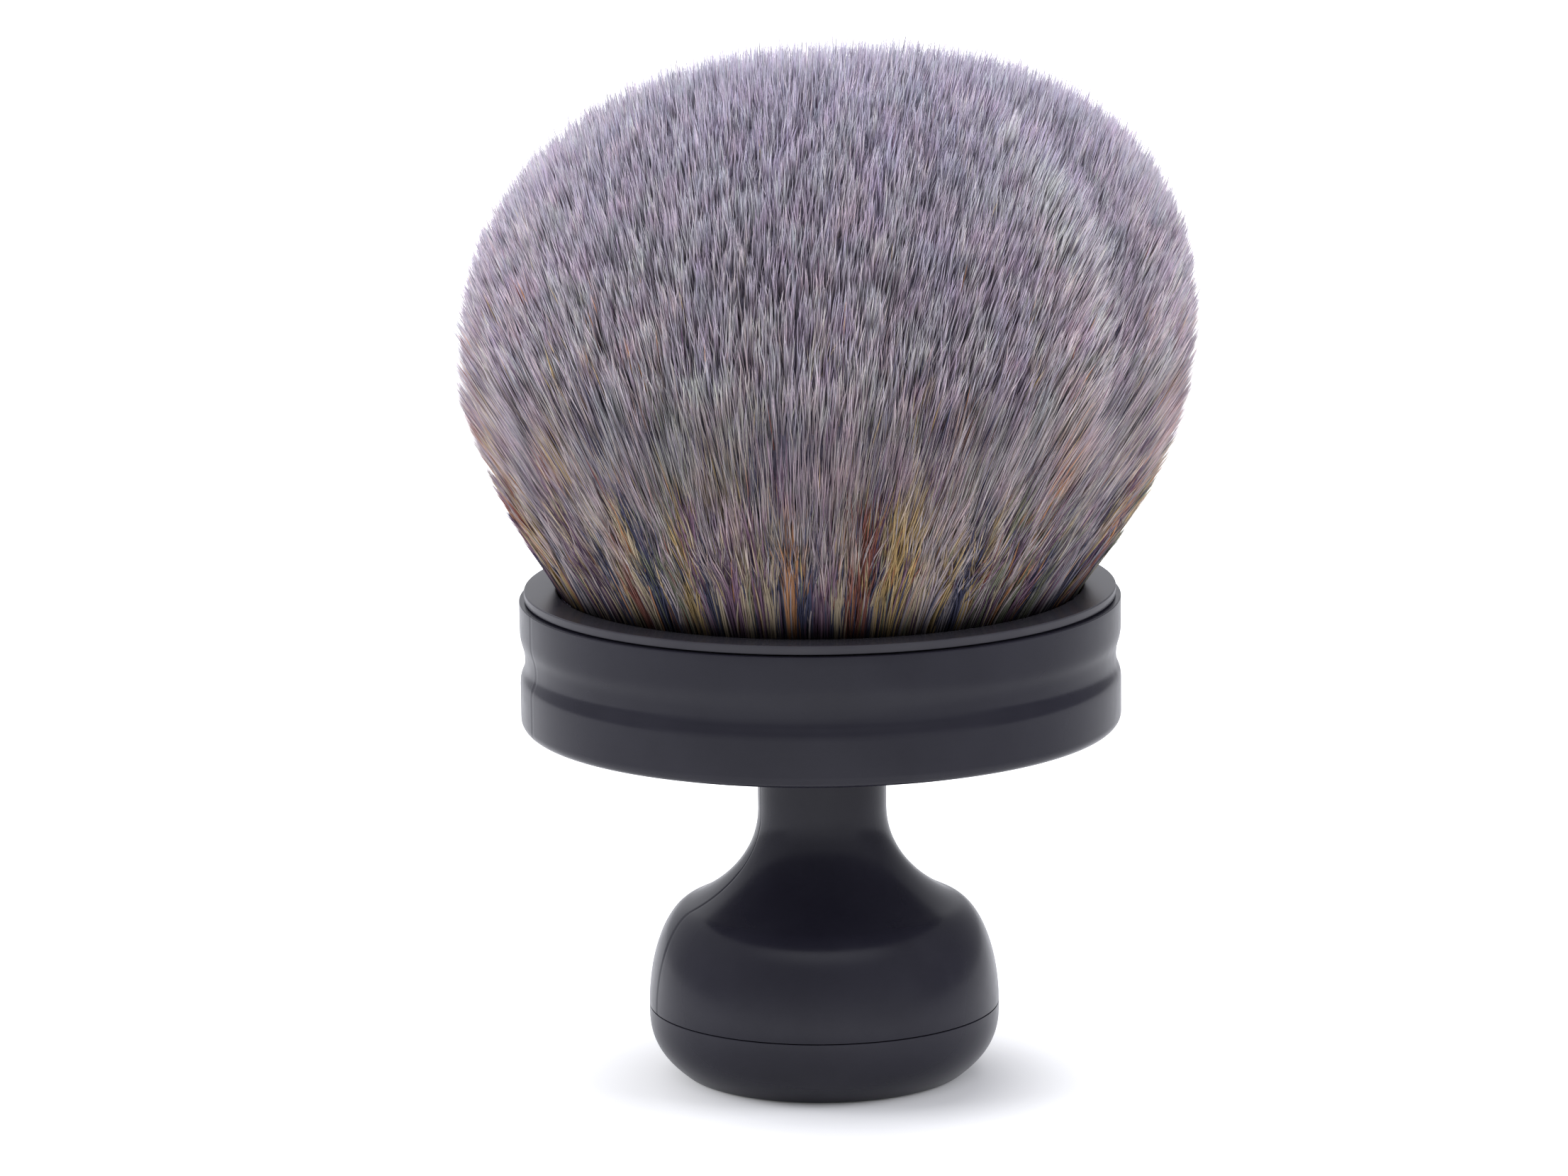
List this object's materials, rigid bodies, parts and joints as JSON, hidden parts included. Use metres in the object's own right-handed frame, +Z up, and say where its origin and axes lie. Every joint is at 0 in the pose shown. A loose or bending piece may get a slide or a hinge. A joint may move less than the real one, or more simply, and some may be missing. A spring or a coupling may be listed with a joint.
{
  "type": "makeup brush",
  "caption": "Large domed round brush in a flat grooved collar, on a short neck and a knob with a flat foot: the neck is held between two fingers and the brush stands upright on its knob.",
  "frame": {"origin": "centre of the flat foot under the knob, where the brush stands", "axes": "+Z up through knob, neck and collar to the tuft; +X towards the side that the tuft leans to; -Y towards the viewer of the picture"},
  "size_m": [0.0721, 0.0718, 0.1038],
  "materials": {
    "fibre": "soft synthetic fibre, lilac grey with coloured strands at the roots",
    "black_plastic": "satin black moulding",
    "nylon": "natural nylon",
    "resin": "set epoxy",
    "plated_steel": "zinc plated",
    "weight_steel": "plain turned steel"
  },
  "bodies": {
    "root": {"bristle_tuft": "fibre", "tuft_cup": "black_plastic", "handle_body": "black_plastic", "base_cap": "black_plastic", "knot_band": "nylon", "root_resin": "resin", "neck_screw": "plated_steel", "screw_washer": "plated_steel", "base_weight": "weight_steel"}
  },
  "joints": []
}
